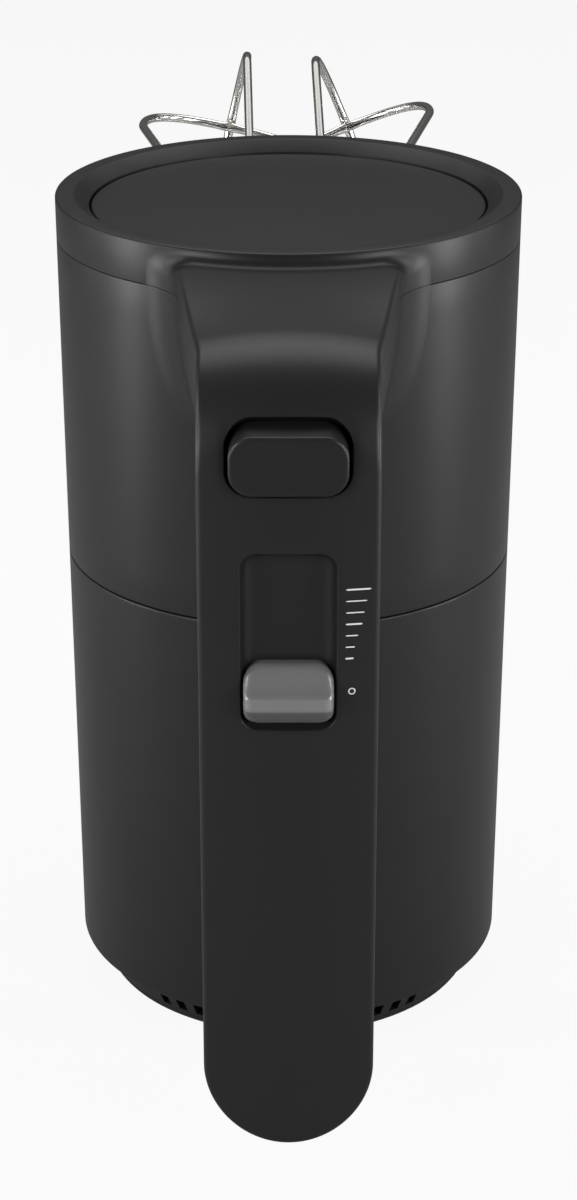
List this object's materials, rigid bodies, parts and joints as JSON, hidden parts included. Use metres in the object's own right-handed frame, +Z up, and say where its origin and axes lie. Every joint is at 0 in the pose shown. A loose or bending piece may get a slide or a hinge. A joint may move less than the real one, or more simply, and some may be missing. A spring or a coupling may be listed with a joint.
{
  "type": "hand mixer",
  "caption": "Cordless hand mixer standing on its heel: upright cylindrical body, open handle with eject button and speed slider, and wire beaters pointing away.",
  "frame": {"origin": "centre of the rubber heel pad's face, on the surface that the mixer stands on", "axes": "+Z up along the body axis from the heel to the nose, +Y towards the beaters, -Y towards the handle, X across"},
  "size_m": [0.092, 0.2732, 0.171],
  "materials": {
    "matte_black_plastic": "fine matte texture",
    "soft_black_plastic": "matte",
    "rubber_pad": "matte",
    "knob_grey": "satin",
    "bright_steel": "polished wire",
    "plain_steel": "satin",
    "zinc_casting": "as cast",
    "sintered_bronze": "matte",
    "copper_wire": "enamelled",
    "iron_laminations": "stacked sheets",
    "magnet_ferrite": "matte",
    "carbon_brush": "matte",
    "cream_nylon": "natural nylon",
    "cell_sleeve": "shrink sleeve",
    "circuit_board": "solder mask",
    "clear_lens": "frosted",
    "cable_grey": "satin",
    "cable_red": "satin"
  },
  "bodies": {
    "housing": {"top_shell": "matte_black_plastic", "nose_disc": "matte_black_plastic", "front_housing": "matte_black_plastic", "rear_housing": "matte_black_plastic", "grip_shell": "matte_black_plastic", "heel_cover": "soft_black_plastic", "heel_pad": "rubber_pad", "socket_plate": "soft_black_plastic", "gearbox_frame": "zinc_casting", "gearbox_cover": "zinc_casting", "spindle_bushings": "sintered_bronze", "worm_bearing": "sintered_bronze", "motor_can": "plain_steel", "motor_magnets": "magnet_ferrite", "motor_end_cap": "cream_nylon", "motor_bearings": "sintered_bronze", "motor_brushes": "carbon_brush", "battery_cells": "cell_sleeve", "battery_carrier": "cream_nylon", "battery_straps": "plain_steel", "control_board": "circuit_board", "charge_port": "plain_steel", "charge_light": "clear_lens", "switch_board": "circuit_board", "switch_cable": "cable_grey", "motor_leads": "cable_red", "eject_guide": "cream_nylon", "eject_spring": "plain_steel", "frame_screws": "plain_steel", "gearbox_screws": "plain_steel", "motor_screws": "plain_steel", "housing_screws": "plain_steel", "heel_screws": "plain_steel", "grip_screws": "plain_steel"},
    "rotor": {"motor_shaft": "plain_steel", "armature_core": "iron_laminations", "armature_windings": "copper_wire", "commutator": "copper_wire", "drive_worm": "plain_steel", "cooling_fan": "soft_black_plastic"},
    "spindle_left": {"left_spindle": "plain_steel", "left_worm_wheel": "cream_nylon"},
    "spindle_right": {"right_spindle": "plain_steel", "right_worm_wheel": "cream_nylon"},
    "ejector_left": {"left_ejector_pin": "plain_steel"},
    "ejector_right": {"right_ejector_pin": "plain_steel"},
    "beater_left": {"left_beater_shaft": "bright_steel", "left_upright_loop": "bright_steel", "left_level_loop": "bright_steel"},
    "beater_right": {"right_beater_shaft": "bright_steel", "right_upright_loop": "bright_steel", "right_level_loop": "bright_steel"},
    "eject_press": {"eject_button": "matte_black_plastic", "eject_yoke": "cream_nylon"},
    "speed_slider": {"speed_knob": "knob_grey", "speed_sled": "cream_nylon"}
  },
  "joints": [
    {"name": "motor_spin", "type": "hinge", "parent": "housing", "child": "rotor", "pos_m": [0, 0, 0.1], "axis": [0, 0, 1], "continuous": true},
    {"name": "spindle_left_spin", "type": "hinge", "parent": "housing", "child": "spindle_left", "pos_m": [-0.015, 0, 0.1447], "axis": [0, 1, 0], "continuous": true},
    {"name": "spindle_right_spin", "type": "hinge", "parent": "housing", "child": "spindle_right", "pos_m": [0.015, 0, 0.1447], "axis": [0, 1, 0], "continuous": true},
    {"name": "eject_press", "type": "slide", "parent": "housing", "child": "eject_press", "axis": [0, 1, 0], "range_m": [0, 0.005], "stiffness_N_per_m": 600, "springref_m": -0.004, "deforming": ["eject_spring"]},
    {"name": "ejector_left_slide", "type": "slide", "parent": "spindle_left", "child": "ejector_left", "axis": [0, 1, 0], "range_m": [0, 0.005]},
    {"name": "ejector_right_slide", "type": "slide", "parent": "spindle_right", "child": "ejector_right", "axis": [0, 1, 0], "range_m": [0, 0.005]},
    {"name": "beater_left_slide", "type": "slide", "parent": "ejector_left", "child": "beater_left", "axis": [0, 1, 0], "range_m": [0, 0.036]},
    {"name": "beater_right_slide", "type": "slide", "parent": "ejector_right", "child": "beater_right", "axis": [0, 1, 0], "range_m": [0, 0.036]},
    {"name": "speed_slide", "type": "slide", "parent": "housing", "child": "speed_slider", "axis": [0, 0, 1], "range_m": [0, 0.019]}
  ],
  "couplings": [
    {"joint": "spindle_left_spin", "follows": "motor_spin", "ratio": 0.071429},
    {"joint": "spindle_right_spin", "follows": "motor_spin", "ratio": -0.071429},
    {"joint": "ejector_left_slide", "follows": "eject_press", "ratio": 1},
    {"joint": "ejector_right_slide", "follows": "eject_press", "ratio": 1},
    {"joint": "beater_right_slide", "follows": "beater_left_slide", "ratio": 1}
  ]
}
